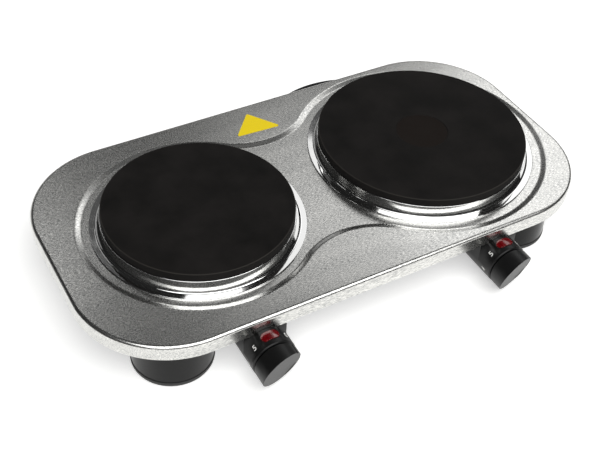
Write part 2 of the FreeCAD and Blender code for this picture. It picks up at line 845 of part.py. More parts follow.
def knob(plate):
    x = plate["dial_x"]
    axis = housing_axis_height
    front = knob_back - knob_longest - knob_radius
    body = rod(knob_radius, x, axis, front, knob_back).cut(slanted_cutter(x, knob_axis_length))
    body = body.makeFillet(knob_round, [edge for edge in body.Edges
                                        if edge.BoundBox.YLength > knob_radius * knob_slope
                                        and edge.BoundBox.XLength > knob_radius])
    end_wall = knob_end_wall / math.cos(math.radians(knob_slant_degrees))
    hollow = rod(knob_radius - knob_wall, x, axis, front, knob_back)
    hollow = hollow.cut(slanted_cutter(x, knob_axis_length - end_wall))
    hollow = hollow.cut(rod(knob_hub_radius, x, axis, front, knob_back))
    body = body.cut(hollow)
    body = body.cut(shaft_profile(x, knob_back - shaft_in_knob, knob_back))
    groove = block(x - pointer_width / 2, x + pointer_width / 2, front, knob_back,
                   axis + knob_radius - pointer_depth, axis + knob_radius + overshoot)
    groove.rotate(V(x, knob_back, axis), BACKWARD, pointer_degrees)
    return body.cut(groove)


def control_shaft(plate):
    x = plate["dial_x"]
    tip = shaft_profile(x, knob_back - shaft_in_knob, knob_back)
    return tip.fuse(rod(shaft_radius, x, housing_axis_height, knob_back, shaft_end))


def knob_clip(plate):
    """Spring ring round the knob's hub."""
    x = plate["dial_x"]
    outer = rod(knob_hub_radius + clip_thickness, x, housing_axis_height,
                knob_back - clip_width, knob_back)
    return outer.cut(rod(knob_hub_radius, x, housing_axis_height,
                         knob_back - clip_width, knob_back))


# ---------------------------------------------------------------- rear terminal housing
def bowed_outline(inset, low, high):
    """Slab with a straight front, straight sides and a bowed rear."""
    half = rear_box_width / 2 - inset
    front = rear_y - rear_box_front_inset + inset
    back = rear_y + rear_box_reach - inset
    radius = rear_box_bow_radius - inset
    shoulder = back - radius + math.sqrt(radius ** 2 - half ** 2)
    left_front = V(rear_box_x - half, front, low)
    right_front = V(rear_box_x + half, front, low)
    right_back = V(rear_box_x + half, shoulder, low)
    left_back = V(rear_box_x - half, shoulder, low)
    bow = Part.Arc(right_back, V(rear_box_x, back, low), left_back)
    outline = Part.Wire([Part.LineSegment(left_front, right_front).toShape(),
                         Part.LineSegment(right_front, right_back).toShape(),
                         bow.toShape(),
                         Part.LineSegment(left_back, left_front).toShape()])
    return Part.Face(outline).extrude(V(0, 0, high - low))


def rear_terminal_housing():
    visible_top = skirt_bottom - housing_gap
    half = rear_box_width / 2
    front = rear_y - rear_box_front_inset
    under_tray = rear_y - cover_sheet - housing_gap
    box = bowed_outline(0.0, rear_box_bottom, visible_top)
    box = box.fuse(block(rear_box_x - half, rear_box_x + half, front, under_tray,
                         visible_top, base_bottom))
    hollow = bowed_outline(rear_box_wall, rear_box_bottom + rear_box_wall,
                           visible_top - rear_box_wall)
    mouth = block(rear_box_x - half + rear_box_wall, rear_box_x + half - rear_box_wall,
                  front + rear_box_wall, under_tray - rear_box_wall,
                  rear_box_bottom + rear_box_wall, base_bottom)
    box = box.cut(hollow.fuse(mouth))
    for boss_x, boss_y in housing_screw_places():
        if boss_y > tray_y:
            box = box.fuse(screw_boss(boss_x, boss_y)).cut(screw_boss_hole(boss_x, boss_y))
    back = rear_y + rear_box_reach
    return box.cut(rod(gland_radius, rear_box_x, gland_height,
                       back - 2 * rear_box_wall, back + overshoot))


def cord_gland():
    back = rear_y + rear_box_reach
    gland = rod(gland_radius, rear_box_x, gland_height, back - gland_inner_length, back)
    gland = gland.fuse(rod(gland_flange_radius, rear_box_x, gland_height, back,
                           back + gland_flange))
    return gland.cut(rod(gland_bore_radius, rear_box_x, gland_height,
                         back - gland_inner_length - overshoot,
                         back + gland_flange + overshoot))


def mains_terminal_block():
    low = rear_box_bottom + rear_box_wall
    half_length = mains_block_length / 2
    half_width = mains_block_width / 2
    return block(rear_box_x - half_length, rear_box_x + half_length,
                 mains_wire_y() - half_width, mains_wire_y() + half_width,
                 low, low + mains_block_height)


def housing_screws():
    return [pan_screw(inner_screw_radius, x, y, base_top,
                      base_bottom - housing_boss_height + 2 * boss_hole_floor, 1)
            for x, y in housing_screw_places()]


# ---------------------------------------------------------------- wiring
def internal_wires():
    """Mains block to both thermostats, thermostats to coils, and coils back to the block."""
    left = PLATES["left"]
    right = PLATES["right"]
    mains_z = rear_box_bottom + rear_box_wall + mains_block_height
    blade_z = blade_heights()[-1] + blade_sheet
    left_near, left_far = coil_circles(left)
    right_near, right_far = coil_circles(right)
    gap_x = (left_plate_x + left_step_radius + right_plate_x - right_step_radius) / 2

    def rise(x, y, low):
        return [V(x, y, low), V(x, y, wire_z)]

    def level(*places):
        return [V(x, y, wire_z) for x, y in places]

    def pin_end(plate, side, circle):
        """Two points that lead a wire sideways against a heater pin."""
        y = tray_y + math.sqrt(circle ** 2 - pin_spread ** 2)
        touch = plate["x"] + side * (pin_spread + pin_radius)
        return [V(touch + side * pin_end_run, y, wire_z), V(touch, y, wire_z)]

    entry = wire_entry_y()
    mains = mains_wire_y()
    side_lane = stud_radius + nut_radius + wire_lane_gap
    waist_rear = tray_y + rear_waist_share * tray_width
    waist_front = tray_y - front_waist_share * tray_width
    routes = [
        rise(mains_wire_x(1), mains, mains_z)
        + level((gap_x - wire_bend, waist_rear), (gap_x - wire_bend, waist_front))
        + rise(left["dial_x"] + wire_spread, entry, blade_z)[::-1],
        rise(mains_wire_x(2), mains, mains_z)
        + level((gap_x + wire_bend, waist_rear), (gap_x + wire_bend, waist_front))
        + rise(right["dial_x"] - wire_spread, entry, blade_z)[::-1],
        rise(left["dial_x"] - wire_spread, entry, blade_z)
        + level((left["x"] - side_lane, tray_y - left_near)) + pin_end(left, -1, left_near),
        rise(right["dial_x"] + wire_spread, entry, blade_z)
        + level((right["x"] + side_lane, tray_y - right_near)) + pin_end(right, 1, right_near),
        rise(mains_wire_x(0), mains, mains_z) + pin_end(left, 1, left_far),
        rise(mains_wire_x(3), mains, mains_z) + pin_end(right, -1, right_far),
    ]
    return [wire(route) for route in routes]


# ---------------------------------------------------------------- build
def build():
    os.makedirs("parts", exist_ok=True)
    save("top_cover", top_cover())
    save("deck_marker", deck_marker())
    save("base_plate", base_plate())
    save("cover_pillars", *cover_pillars())
    save("base_screws", *base_screws())
    save("foot_screws", *foot_screws())
    save("foot_nuts", *foot_nuts())
    save("housing_screws", *housing_screws())
    save("rear_terminal_housing", rear_terminal_housing())
    save("cord_gland", cord_gland())
    save("mains_terminal_block", mains_terminal_block())
    save("internal_wires", *internal_wires())
    for name, (x, y) in FEET.items():
        save(name + "_foot", foot(x, y))
        save(name + "_foot_pad", foot_pad(x, y))
    for name, plate in PLATES.items():
        save(name + "_hotplate_casting", hotplate_casting(plate))
        save(name + "_spill_ring", spill_ring(plate))
        save(name + "_ring_gasket", ring_gasket(plate))
        save(name + "_heating_coil", *coil_rings(plate, 0.0))
        save(name + "_insulation_fill", *insulation_fill(plate))
        save(name + "_plate_backing", plate_backing(plate))
        save(name + "_clamp_stud", clamp_stud(plate))
        save(name + "_clamp_bridge", clamp_bridge(plate))
        save(name + "_clamp_nut", clamp_nut(plate))
        save(name + "_terminal_block", terminal_block(plate))
        save(name + "_terminal_pins", *terminal_pins(plate))
        save(name + "_control_housing", control_housing(plate))
        save(name + "_pilot_lens", pilot_lens(plate))
        save(name + "_neon_lamp", neon_lamp(plate))
        save(name + "_thermostat_bracket", thermostat_bracket(plate))
        save(name + "_thermostat_stack", *thermostat_stack(plate))
        save(name + "_contact_blades", *contact_blades(plate))
        save(name + "_knob", knob(plate))
        save(name + "_control_shaft", control_shaft(plate))
        save(name + "_knob_clip", knob_clip(plate))


build()
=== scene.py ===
"""Finished looks of a twin-plate electric hot plate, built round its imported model."""
import json
import math

import bmesh
import bpy
from bmesh.types import BMEdge, BMFace, BMVert
from bpy.props import FloatProperty, FloatVectorProperty, IntProperty, PointerProperty
from mathutils import Matrix, Vector


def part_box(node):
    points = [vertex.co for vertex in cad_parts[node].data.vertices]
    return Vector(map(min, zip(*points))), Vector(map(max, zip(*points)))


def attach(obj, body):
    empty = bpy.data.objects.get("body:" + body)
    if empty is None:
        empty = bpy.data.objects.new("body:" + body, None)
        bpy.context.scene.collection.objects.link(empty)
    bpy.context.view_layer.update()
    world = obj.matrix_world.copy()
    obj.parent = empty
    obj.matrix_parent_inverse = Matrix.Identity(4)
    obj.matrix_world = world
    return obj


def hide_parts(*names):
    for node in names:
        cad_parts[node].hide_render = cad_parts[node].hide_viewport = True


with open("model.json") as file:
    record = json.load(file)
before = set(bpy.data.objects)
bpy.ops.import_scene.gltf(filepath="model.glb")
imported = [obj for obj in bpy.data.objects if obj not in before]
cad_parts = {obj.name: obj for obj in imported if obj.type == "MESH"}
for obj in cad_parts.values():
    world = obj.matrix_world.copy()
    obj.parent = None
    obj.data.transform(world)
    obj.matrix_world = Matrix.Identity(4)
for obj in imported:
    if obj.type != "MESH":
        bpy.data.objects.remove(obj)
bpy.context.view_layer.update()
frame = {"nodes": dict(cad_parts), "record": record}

bl_info = {
    "name": "Twin hot plate",
    "version": (1, 0, 0),
    "blender": (4, 5, 0),
    "location": "View3D > Sidebar > Hot plate",
    "description": "Builds the looks of a twin-plate electric hot plate",
    "category": "Object",
}

MM = 0.001
TINY = 1e-6                       # points closer than this are one
SIDES = ("left", "right")
FEET = ("front_left", "front_right", "rear_left", "rear_right")
ROUND_STEPS = 144                 # facets round a plate or a foot
RING_STEPS = 192                  # facets round a spill ring, whose mirror shows each one
GLAND_STEPS = 64                  # facets round the cord gland
KNOB_SIDES = 72                   # facets round a knob
CORNER_CUTS = 5                   # facets across a rounded corner of a turned outline
FOLD_CUTS = 8                     # facets across the fold round the deck
ARC_STEP = math.radians(3.0)      # facet angle on the tray's arcs
QUARTER = math.radians(90.0)
CREASE = math.radians(35.0)       # edges sharper than this stay crisp
FLAT = math.radians(0.5)          # faces that turn less than this are one flat area
UPRIGHT = Matrix.Identity(4)
FORWARD = Matrix.Rotation(QUARTER, 4, "X")       # turns +Z to -Y, out of the front
BACKWARD = Matrix.Rotation(-QUARTER, 4, "X")     # turns +Z to +Y, out of the rear
DIGIT_FILL = 0.7                  # height of a digit as a share of its type size


# -------- small helpers
def linear(code):
    """Turns an sRGB hex colour into the linear RGBA that a shader takes."""
    parts = [int(code[at:at + 2], 16) / 255 for at in (1, 3, 5)]
    return tuple(part / 12.92 if part <= 0.04045 else ((part + 0.055) / 1.055) ** 2.4
                 for part in parts) + (1.0,)


def per_mm(size):
    """Texture scale, in repeats per metre, for a feature of this many millimetres."""
    return 1.0 / (size * MM)


def middle(node):
    """Centre of a CAD node's box."""
    low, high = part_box(node)
    return (low + high) / 2


def below(node):
    """Point at height zero under a CAD node's centre."""
    centre = middle(node)
    return Vector((centre.x, centre.y, 0.0))


def radius_of(node):
    """Half a CAD node's width, which is a round one's radius."""
    low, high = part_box(node)
    return (high.x - low.x) / 2


def length_property(name, about, millimetres):
    return FloatProperty(name=name, description=about, default=millimetres * MM, min=0.0,
                         unit="LENGTH", precision=4)


def angle_property(name, about, degrees):
    return FloatProperty(name=name, description=about, default=math.radians(degrees),
                         subtype="ANGLE")


def colour_property(name, about, code):
    return FloatVectorProperty(name=name, description=about, default=linear(code), size=4,
                               min=0.0, max=1.0, subtype="COLOR")


# -------- settings
class HotPlateTraySettings(bpy.types.PropertyGroup):
    fold: length_property("Fold", "Outer radius of the fold round the deck", 3.0)
    corner: length_property("Corner", "Radius of the tray's corners", 80.0)
    sheet: length_property("Sheet", "Thickness of the pressed sheet", 0.8)
    recess: length_property("Recess", "Depth of the recess round the plates", 1.5)
    slope: length_property("Step width", "Width of the slanted step into the recess", 4.4)
    step_round: length_property("Step round", "Setback of the step's two soft bends", 0.9)
    left_margin: length_property("Left margin", "Recess floor outside the left ring", 6.3)
    right_margin: length_property("Right margin", "Recess floor outside the right ring", 7.5)
    waist: length_property("Waist", "Radius of the recess's waist", 70.0)
    hole_inset: length_property("Hole inset", "Plate edge beyond the hole under it", 5.5)


class HotPlatePlateSettings(bpy.types.PropertyGroup):
    rim_wall: length_property("Rim wall", "Thickness of a casting's rim", 6.0)
    slab: length_property("Slab", "Iron above the heating grooves", 3.0)
    edge_round: length_property("Edge round", "Round of a plate's upper edge", 0.9)
    dish_radius: length_property("Dish", "Radius of the larger plate's middle dish", 23.5)
    dish_depth: length_property("Dish depth", "Depth of that dish", 0.5)
    ring_sheet: length_property("Ring sheet", "Thickness of a spill ring's sheet", 0.6)
    ring_gap: length_property("Ring gap", "Gap between a plate and its ring's wall", 0.5)
    ring_seat: length_property("Ring seat", "Lip that reaches in under a plate", 4.5)
    left_lean: length_property("Left lean", "How far the left ring's wall foot stands out", 4.0)
    right_lean: length_property("Right lean", "The same for the right ring", 3.0)
    bead: length_property("Bead", "Round of a ring's rolled outer edge", 0.55)
    foot_round: length_property("Foot round", "Round between a ring's flange and its wall", 1.3)
    head_round: length_property("Head round", "Round where a ring's wall turns in", 0.4)


class HotPlateDialSettings(bpy.types.PropertyGroup):
    reach: length_property("Knob length", "Length of a knob's long side", 16.35)
    slant: angle_property("Slant", "Slope of a knob's cut end", 20.0)
    long_side: angle_property("Long side", "Turn of a knob's long side, left of the top", 45.0)
    pointer: angle_property("Pointer", "Turn of the pointer groove, right of the top", 45.0)
    pointer_depth: length_property("Pointer depth", "Depth of the pointer groove", 0.7)
    end_round: length_property("End round", "Round of a knob's cut end", 0.7)
    back_round: length_property("Back round", "Round of a knob's back edge", 0.3)
    wall: length_property("Wall", "Wall of a knob", 2.6)
    lip: length_property("Lip", "Softening of a housing's edges", 0.35)
    lens_round: length_property("Lens round", "Round of a lens's upper edge", 0.5)
    digits: IntProperty(name="Digits", description="How many digits a scale has", default=6,
                        min=1, max=10)
    digit_height: length_property("Digit height", "Height of the scale's digits", 4.6)
    digit_setback: length_property("Digit setback", "Digits behind the housing's lip", 8.0)
    digit_relief: length_property("Digit relief", "How proud the printed digits stand", 0.06)
    scale_turn: angle_property("Scale turn", "Turn from one digit to the next", 53.4)


class HotPlateBodySettings(bpy.types.PropertyGroup):
    foot_top: length_property("Foot top", "Radius of a foot's drum at its top", 31.5)
    foot_wall: length_property("Foot wall", "Wall of a foot's drum", 3.0)
    foot_roof: length_property("Foot roof", "Roof of a foot's drum", 4.0)
    foot_round: length_property("Foot round", "Round of a drum's lower edge", 0.8)
    pad_bore: length_property("Pad bore", "Radius of the hole through a foot pad", 25.0)
    pad_round: length_property("Pad round", "Round of a pad's lower edge", 2.6)
    pad_edge: length_property("Pad edge", "Round of a pad's upper edge", 0.3)
    pad_gap: length_property("Pad gap", "Gap between a pad's spigot and its drum", 0.3)
    box_round: length_property("Box round", "Round of the rear housing's edges", 0.9)
    gland_bore: length_property("Gland bore", "Radius of the cord gland's bore", 3.75)
    gland_neck: length_property("Gland neck", "Radius of the cord gland's neck", 7.0)
    gland_flange: length_property("Gland flange", "Thickness of the cord gland's flange", 1.6)
    gland_round: length_property("Gland round", "Round of the cord gland's flange", 0.5)
    gland_mouth: length_property("Gland mouth", "Round of the mouth of its bore", 0.4)


class HotPlateColourSettings(bpy.types.PropertyGroup):
    steel_dark: colour_property("Steel, dark", "Dark tone of the brushed steel", "#a9aaa9")
    steel_light: colour_property("Steel, light", "Light tone of the brushed steel", "#f0efeb")
    chrome: colour_property("Chrome", "Polished spill rings", "#dcdcdb")
    iron: colour_property("Iron", "Heat-proof coating of the plates", "#11100f")
    iron_worn: colour_property("Iron, worn", "Lighter clouds on the plates", "#1f1d1c")
    iron_middle: colour_property("Iron, middle", "Middle of the larger plate", "#1b1613")
    # Lighter tone painted on the plates' upper edges: a painted highlight.
    iron_edge: colour_property("Iron, edge", "Plates' upper edges, rubbed by pans", "#33312e")
    plastic: colour_property("Plastic", "Dials and housings", "#0d0d0d")
    foot: colour_property("Feet", "Glossy feet", "#050505")
    rubber: colour_property("Rubber", "Foot pads", "#161616")
    lens: colour_property("Lens", "Pilot lenses", "#850610")
    marker: colour_property("Marker", "Triangle on the deck", "#ffe205")
    digit_ink: colour_property("Digit ink", "Digits of the scales", "#eeeeea")


class HotPlateStageSettings(bpy.types.PropertyGroup):
    camera: FloatVectorProperty(name="Camera", description="Place of the camera",
                                default=(-0.3558, -0.5467, 0.6233), subtype="TRANSLATION")
    target: FloatVectorProperty(name="Target", description="Point that the camera looks at",
                                default=(-0.0354, -0.0350, 0.0499), subtype="TRANSLATION")
    roll: angle_property("Roll", "Tilt of the camera about its line of sight", 3.895)
    lens: FloatProperty(name="Lens", description="Focal length in millimetres",
                        default=60.84, min=1.0)
    floor: FloatProperty(name="Floor", description="Side of the pale floor", default=12.0,
                         unit="LENGTH")
    surround: FloatProperty(name="Surround", description="Brightness of the studio's walls",
                            default=0.02, min=0.0)
    glow: FloatProperty(name="Glow", description="Light that comes up through the floor",
                        default=0.48, min=0.0)
    lights_away: FloatProperty(name="Lights away", description="Distance of the softboxes",
                               default=6.0, unit="LENGTH")
    key: FloatProperty(name="Key", description="Brightness of the overhead softbox",
                       default=3.1, min=0.0)
    side: FloatProperty(name="Side", description="Brightness that the side and rear lights share",
                        default=1.6, min=0.0)
    fill: FloatProperty(name="Fill", description="Brightness of the dim wall behind",
                        default=0.08, min=0.0)


# -------- materials
def add_node(tree, kind, inputs=(), **settings):
    """Adds one shader node; inputs are (socket, value or output socket) pairs."""
    node = tree.nodes.new("ShaderNode" + kind)
    for key, value in settings.items():
        setattr(node, key, value)
    for socket, value in inputs:
        if isinstance(value, bpy.types.NodeSocket):
            tree.links.new(value, node.inputs[socket])
        else:
            node.inputs[socket].default_value = value
    return node


def new_material(name, constants):
    """Starts a material; constants go on the shader's own sockets."""
    material = bpy.data.materials.new(name)
    material.use_nodes = True
    tree = material.node_tree
    shader = tree.nodes["Principled BSDF"]
    for socket, value in constants.items():
        shader.inputs[socket].default_value = value
    return material, tree, shader


def grain(tree, size, detail=3.0):
    """Noise in object space; size is its features' millimetres, one number or x, y and z."""
    along = size if isinstance(size, tuple) else (size, size, size)
    place = add_node(tree, "TexCoord")
    scaled = add_node(tree, "VectorMath", [(0, place.outputs["Object"]),
                                           (1, [per_mm(part) for part in along])],
                      operation="MULTIPLY")
    noise = add_node(tree, "TexNoise", [("Vector", scaled.outputs[0]), ("Scale", 1.0),
                                        ("Detail", detail), ("Roughness", 0.55)])
    return noise.outputs["Fac"]


def ranged(tree, value, low, high, start=0.3, end=0.7):
    """Spreads start to end, by default the middle of a noise, over low to high."""
    spread = add_node(tree, "MapRange", [("Value", value), ("From Min", start),
                                         ("From Max", end), ("To Min", low), ("To Max", high)])
    return spread.outputs["Result"]


def mixed(tree, factor, first, second):
    """Colour that goes from first to second as factor goes from 0 to 1."""
    mix = add_node(tree, "Mix", [(0, factor), (6, first), (7, second)], data_type="RGBA")
    return mix.outputs[2]


def relief(tree, shader, height, depth):
    """Bump whose full height is depth millimetres."""
    bump = add_node(tree, "Bump", [("Height", height), ("Distance", depth * MM),
                                   ("Strength", 1.0)])
    tree.links.new(bump.outputs["Normal"], shader.inputs["Normal"])


def chosen(name, factor=1.0):
    """A colour of the panel, darker or lighter by a factor."""
    return [part * factor for part in getattr(bpy.context.scene.hot_plate_colours, name)]


def plain_surface(name, tones, size, rough, depth, constants):
    """Material of two close tones, with roughness and relief from one grain."""
    material, tree, shader = new_material(name, constants)
    pattern = grain(tree, size)
    tree.links.new(mixed(tree, ranged(tree, pattern, 0.0, 1.0), tones[0], tones[1]),
                   shader.inputs["Base Color"])
    tree.links.new(ranged(tree, pattern, rough[0], rough[1]), shader.inputs["Roughness"])
    relief(tree, shader, pattern, depth)
    return material


def brushed_stainless():
    """Stainless sheet brushed lengthwise with a belt: short scratches mottle its reflections.

    Real scratches are about 0.1 mm wide; they are drawn 0.5 mm wide so that they show.
    """
    material, tree, shader = new_material("brushed_stainless", {"Metallic": 1.0})
    scratches = grain(tree, (2.6, 0.5, 0.5), detail=1.0)
    clouds = grain(tree, (60.0, 12.0, 12.0), detail=2.0)
    tone = add_node(tree, "Math", [(0, ranged(tree, scratches, 0.0, 1.0)),
                                   (1, ranged(tree, clouds, -0.1, 0.1))], operation="ADD",
                    use_clamp=True)
    tree.links.new(mixed(tree, tone.outputs[0], chosen("steel_dark"), chosen("steel_light")),
                   shader.inputs["Base Color"])
    tree.links.new(ranged(tree, scratches, 0.3, 0.22), shader.inputs["Roughness"])
    relief(tree, shader, scratches, 0.0012)
    return material


def polished_chrome():
    """Pressed steel, buffed and chrome plated: a near mirror with a faint buffing haze."""
    material, tree, shader = new_material("polished_chrome", {
        "Metallic": 1.0, "Base Color": chosen("chrome")})
    haze = grain(tree, 12.0)
    tree.links.new(ranged(tree, haze, 0.04, 0.09), shader.inputs["Roughness"])
    relief(tree, shader, grain(tree, 9.0), 0.01)
    return material


def coated_cast_iron(side, centre, reach, dish):
    """Turned grey iron under a matt heat-proof coating: near black, with soft clouds.

    Heat has browned the middle of a dished plate, and the upper edge is painted lighter as a
    painted highlight.
    Turning marks are about 0.4 mm apart; they are drawn 1.5 mm apart so that they show.
    """
    mark_spacing = 1.5
    dish_blend = 1.5 * MM
    # Reach of the painted highlight on the plate's upper edge:
    highlight_in, highlight_full_in = 1.0 * MM, 0.4 * MM            # in from the plate's side
    highlight_down, highlight_full_down = 0.7 * MM, 0.3 * MM        # down from its top
    material, tree, shader = new_material(side + "_coated_cast_iron",
                                          {"Specular IOR Level": 0.1})
    clouds = grain(tree, 30.0)
    grit = grain(tree, 0.7)
    place = add_node(tree, "TexCoord")
    centred = add_node(tree, "Mapping", [("Vector", place.outputs["Object"]),
                                         ("Location", (-centre.x, -centre.y, 0.0))])
    level = add_node(tree, "VectorMath", [(0, centred.outputs[0]), (1, (1.0, 1.0, 0.0))],
                     operation="MULTIPLY")
    radius = add_node(tree, "VectorMath", [(0, level.outputs[0])], operation="LENGTH")
    turns = add_node(tree, "Math", [(0, radius.outputs["Value"]),
                                    (1, 2.0 * math.pi * per_mm(mark_spacing))],
                     operation="MULTIPLY")
    marks = add_node(tree, "Math", [(0, turns.outputs[0])], operation="SINE")
    tone = mixed(tree, ranged(tree, clouds, 0.0, 1.0), chosen("iron"), chosen("iron_worn"))
    if dish:
        inside = ranged(tree, radius.outputs["Value"], 1.0, 0.0, dish - dish_blend, dish)
        tone = mixed(tree, inside, tone, chosen("iron_middle"))
    spot = add_node(tree, "SeparateXYZ", [(0, place.outputs["Object"])])
    # Painted highlight: the rounded upper edge is painted in a lighter tone, where light would
    # catch it.
    outer = ranged(tree, radius.outputs["Value"], 0.0, 1.0, reach - highlight_in,
                   reach - highlight_full_in)
    upper = ranged(tree, spot.outputs["Z"], 0.0, 1.0, centre.z - highlight_down,
                   centre.z - highlight_full_down)
    edge_highlight = add_node(tree, "Math", [(0, outer), (1, upper)], operation="MULTIPLY")
    tone = mixed(tree, edge_highlight.outputs[0], tone, chosen("iron_edge"))
    tree.links.new(tone, shader.inputs["Base Color"])
    tree.links.new(ranged(tree, clouds, 0.6, 0.72), shader.inputs["Roughness"])
    height = add_node(tree, "Math", [(0, marks.outputs[0]), (1, 0.15), (2, grit)],
                      operation="MULTIPLY_ADD")
    relief(tree, shader, height.outputs[0], 0.03)
    return material


def satin_moulded_plastic():
    """Heat-resistant thermoset, moulded with a fine spark-eroded texture: satin black."""
    return plain_surface("satin_moulded_plastic", (chosen("plastic"), chosen("plastic", 1.25)),
                         0.6, (0.34, 0.44), 0.012, {"IOR": 1.5, "Specular IOR Level": 0.35})


def glossy_moulded_plastic():
    """Polished-mould ABS: deep black with soft-edged highlights."""
    return plain_surface("glossy_moulded_plastic", (chosen("foot"), chosen("foot", 1.4)),
                         18.0, (0.14, 0.22), 0.02, {"IOR": 1.53, "Specular IOR Level": 0.22})


def moulded_rubber():
    """Moulded rubber: dull dark grey, with a slightly uneven skin."""
    return plain_surface("moulded_rubber", (chosen("rubber"), chosen("rubber", 1.5)),
                         1.5, (0.5, 0.65), 0.03, {"IOR": 1.52})


def red_polycarbonate():
    """Dyed polycarbonate lens: deep red inside, with a polished skin."""
    return plain_surface("red_polycarbonate", (chosen("lens", 0.55), chosen("lens")),
                         4.0, (0.08, 0.14), 0.01,
                         {"IOR": 1.58, "Transmission Weight": 0.25, "Coat Weight": 0.4,
                          "Coat Roughness": 0.05})


def printed_foil():
    """Screen-printed vinyl foil: even yellow with the slight tooth of the ink."""
    return plain_surface("printed_foil", (chosen("marker", 0.9), chosen("marker")),
                         1.2, (0.4, 0.5), 0.01, {"IOR": 1.48})


def pad_print():
    """Pad-printed ink: off-white, slightly uneven in cover."""
    return plain_surface("pad_print", (chosen("digit_ink", 0.82), chosen("digit_ink")),
                         0.5, (0.45, 0.6), 0.01, {"IOR": 1.48})


def enamelled_sheet():
    """Black stove-enamelled steel: smooth, with a light orange-peel ripple."""
    return plain_surface("enamelled_sheet", (linear("#141414"), linear("#1d1d1d")),
                         3.0, (0.3, 0.42), 0.02, {"IOR": 1.52})


def zinc_plate():
    """Bright zinc-plated steel: grey with a faint bluish spangle."""
    return plain_surface("zinc_plate", (linear("#9fa2a5"), linear("#c9cbcc")),
                         2.0, (0.28, 0.45), 0.01, {"Metallic": 1.0})


def spun_brass():
    """Turned brass: warm yellow with fine tool marks."""
    return plain_surface("spun_brass", (linear("#b08d46"), linear("#d1b06a")),
                         (0.4, 0.4, 2.0), (0.25, 0.4), 0.01, {"Metallic": 1.0})


def oxidised_heater_alloy():
    """Resistance alloy in its sheath, blued and dulled by heat."""
    return plain_surface("oxidised_heater_alloy", (linear("#4a4542"), linear("#6d655e")),
                         2.5, (0.5, 0.65), 0.02, {"Metallic": 1.0})


def steatite_ceramic():
    """Pressed and fired steatite: chalky off-white with small pores."""
    return plain_surface("steatite_ceramic", (linear("#d6d0c2"), linear("#e6e1d6")),
                         0.8, (0.6, 0.75), 0.04, {"IOR": 1.55})


def pressed_magnesia():
    """Tamped magnesia powder: matt and grainy."""
    return plain_surface("pressed_magnesia", (linear("#c2bfb6"), linear("#dcdad2")),
                         0.5, (0.8, 0.95), 0.06, {"IOR": 1.6})


def fibre_gasket():
    """Pressed glass-fibre felt: tangled pale fibres."""
    return plain_surface("fibre_gasket", (linear("#a8a292"), linear("#d0cbbd")),
                         (3.0, 0.6, 0.6), (0.8, 0.95), 0.08, {"IOR": 1.5})


def lamp_glass():
    """Drawn glass of a small neon lamp: clear with a warm tint."""
    return plain_surface("lamp_glass", (linear("#e9c9b4"), linear("#f3dccd")),
                         2.0, (0.03, 0.08), 0.01, {"IOR": 1.5, "Transmission Weight": 0.8})


def braided_sleeving():
    """Silicone-varnished glass sleeving over the wires: warm grey braid."""
    return plain_surface("braided_sleeving", (linear("#77706a"), linear("#a39b92")),
                         0.9, (0.6, 0.8), 0.05, {"IOR": 1.45})


SLOT_MATERIALS = {
    "brushed_deck": brushed_stainless,
    "polished_chrome": polished_chrome,
    "black_enamelled_steel": enamelled_sheet,
    "zinc_steel": zinc_plate,
    "black_plastic": satin_moulded_plastic,
    "gloss_black_plastic": glossy_moulded_plastic,
    "rubber": moulded_rubber,
    "red_lens": red_polycarbonate,
    "yellow_marker": printed_foil,
    "brass": spun_brass,
    "heater_alloy": oxidised_heater_alloy,
    "ceramic": steatite_ceramic,
    "magnesia": pressed_magnesia,
    "gasket_fibre": fibre_gasket,
    "lamp_glass": lamp_glass,
    "wire_insulation": braided_sleeving,
}
made_materials = {}


def finish_of(maker):
    """The material that a maker gives, made once."""
    if maker not in made_materials:
        made_materials[maker] = maker()
    return made_materials[maker]


# -------- modelling helpers
def outline(bm, points, rounds=()):
    """Flat face in the XZ plane; rounds are (setback, point numbers) pairs."""
    corners = [bm.verts.new((across, 0.0, up)) for across, up in points]
    bm.faces.new(corners)
    for setback, numbers in rounds:
        bmesh.ops.bevel(bm, geom=[corners[number] for number in numbers], offset=setback,
                        offset_type="OFFSET", affect="VERTICES", segments=CORNER_CUTS,
                        profile=0.5, material=-1)


def turned(points, rounds=(), steps=ROUND_STEPS):
    """Shape turned about Z from a closed outline of (radius, height) points."""
    bm = bmesh.new()
    outline(bm, points, rounds)
    bmesh.ops.delete(bm, geom=bm.faces[:], context="FACES_ONLY")
    on_axis = [edge for edge in bm.edges if all(vert.co.x < TINY for vert in edge.verts)]
    bmesh.ops.delete(bm, geom=on_axis, context="EDGES")
    bmesh.ops.spin(bm, geom=bm.verts[:] + bm.edges[:], cent=(0, 0, 0), axis=(0, 0, 1),
                   angle=2 * math.pi, steps=steps, use_merge=True)
    bmesh.ops.remove_doubles(bm, verts=bm.verts, dist=TINY)
    return bm


def moved(bm, place, turn=UPRIGHT):
    """Turns the whole shape about the origin, then puts it in its place."""
    bmesh.ops.transform(bm, matrix=Matrix.Translation(place) @ turn, verts=bm.verts)
    return bm


def merged_copy(node):
    """A CAD node's mesh as one closed skin, with its flat areas made single faces."""
    bm = bmesh.new()
    bm.from_mesh(frame["nodes"][node].data)
    bmesh.ops.remove_doubles(bm, verts=bm.verts, dist=TINY)
    bmesh.ops.dissolve_limit(bm, angle_limit=FLAT, verts=bm.verts, edges=bm.edges)
    return bm


def only(kind, parts):
    """The parts of an operator's result that are of one kind."""
    return [part for part in parts if isinstance(part, kind)]


def sharp_edges(bm, wanted):
    """Crisp edges whose two ends are both wanted."""
    return [edge for edge in bm.edges if len(edge.link_faces) == 2
            and edge.calc_face_angle() > CREASE
            and all(wanted(vert.co) for vert in edge.verts)]


def soften(bm, edges, setback, segments=3):
    """Rounds the edges over, from this far on either side."""
    bmesh.ops.bevel(bm, geom=edges, offset=setback, offset_type="OFFSET", affect="EDGES",
                    segments=segments, profile=0.5, material=-1, clamp_overlap=True)


